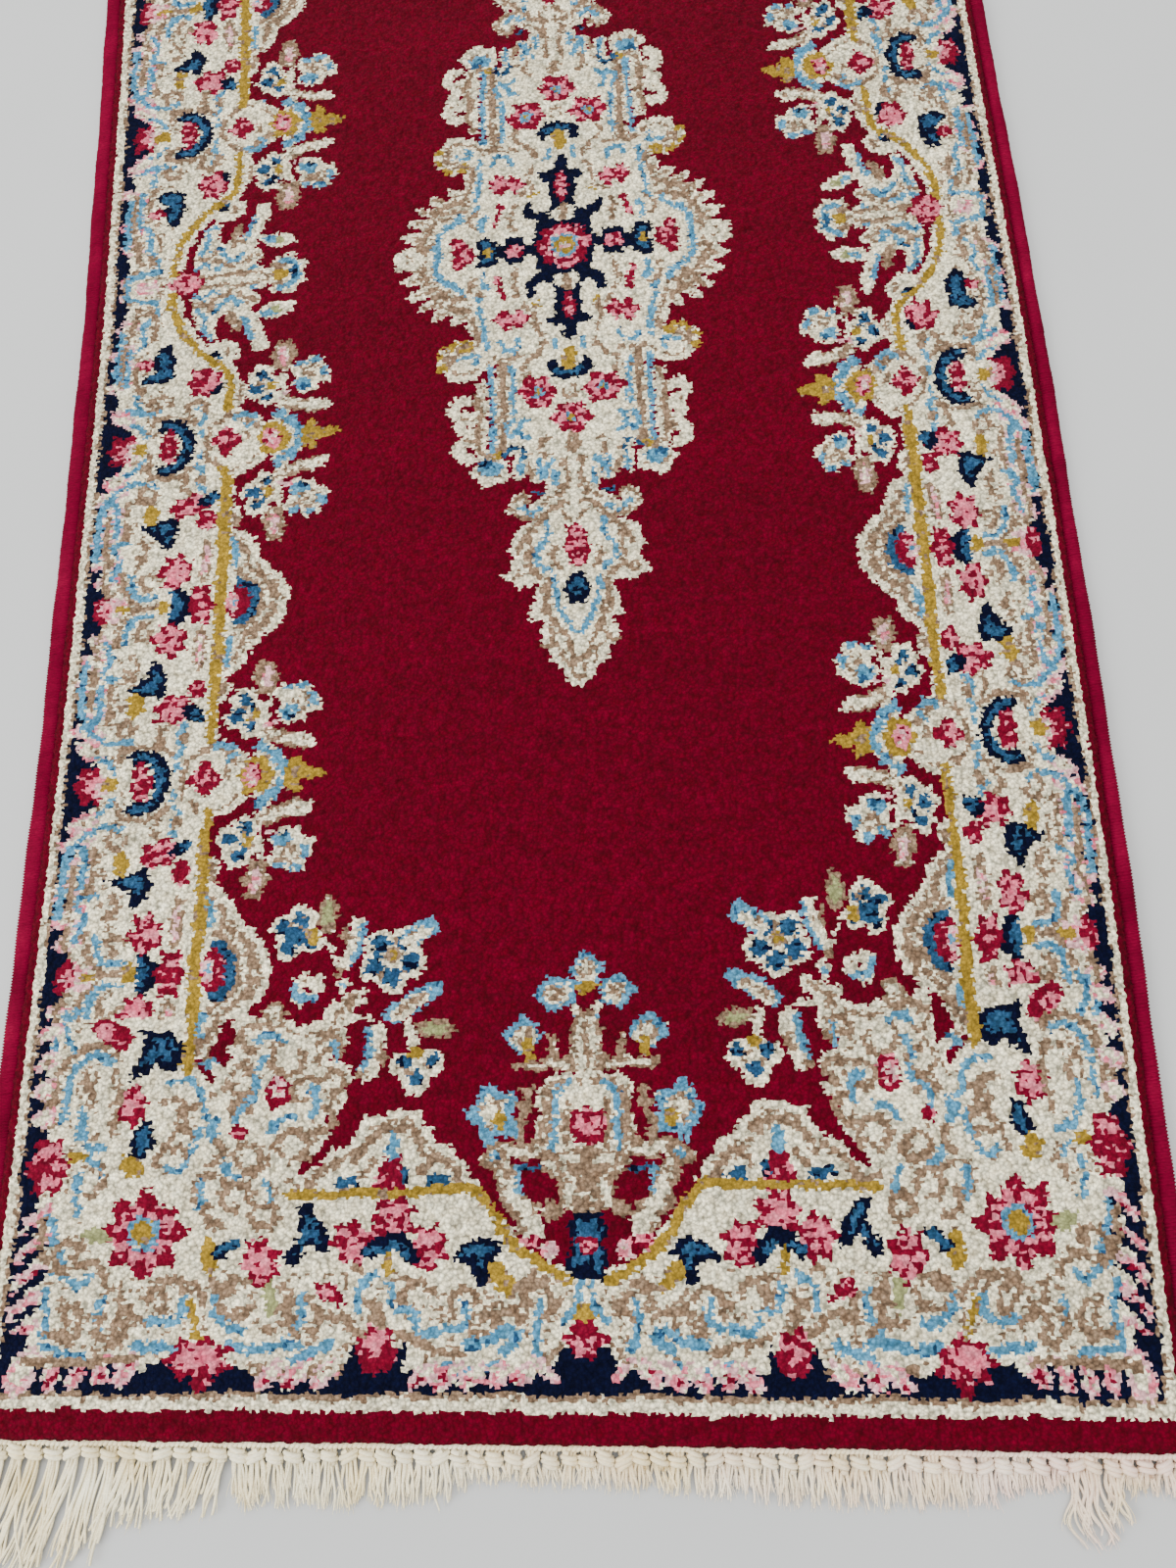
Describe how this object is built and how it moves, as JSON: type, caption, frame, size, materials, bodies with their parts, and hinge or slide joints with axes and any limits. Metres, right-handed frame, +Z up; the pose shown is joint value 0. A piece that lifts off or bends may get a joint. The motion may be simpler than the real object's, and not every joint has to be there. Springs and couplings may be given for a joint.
{
  "type": "runner rug",
  "caption": "Small hand-knotted wool runner with a central medallion, floral borders, overcast long edges and a knotted cotton fringe at both ends.",
  "frame": {"origin": "middle of the rug's box, on the floor that its underside lies on", "axes": "+Z up through the pile, +Y along the rug towards its far end, +X across it to the right"},
  "size_m": [0.7152, 1.6802, 0.011],
  "materials": {
    "cotton": "unbleached spun cotton, matt",
    "crimson_wool": "clipped wool pile, soft sheen",
    "edge_wool": "wool yarn wound side by side",
    "ivory_wool": "clipped wool pile, soft sheen",
    "navy_wool": "clipped wool pile, soft sheen"
  },
  "bodies": {
    "root": {"ground_weave": "cotton", "edge_core_left": "cotton", "edge_core_right": "cotton", "edge_wrap_left": "edge_wool", "edge_wrap_right": "edge_wool", "pile_end_band_near": "crimson_wool", "pile_end_band_far": "crimson_wool", "pile_guard_stripe": "ivory_wool", "pile_guard_ground": "navy_wool", "pile_border_left": "ivory_wool", "pile_border_right": "ivory_wool", "pile_border_near": "ivory_wool", "pile_border_far": "ivory_wool", "pile_field": "crimson_wool", "pile_medallion": "ivory_wool", "pile_medallion_cross": "navy_wool", "end_twining_near": "cotton", "end_twining_far": "cotton", "fringe_near": "cotton", "fringe_far": "cotton"}
  },
  "joints": []
}
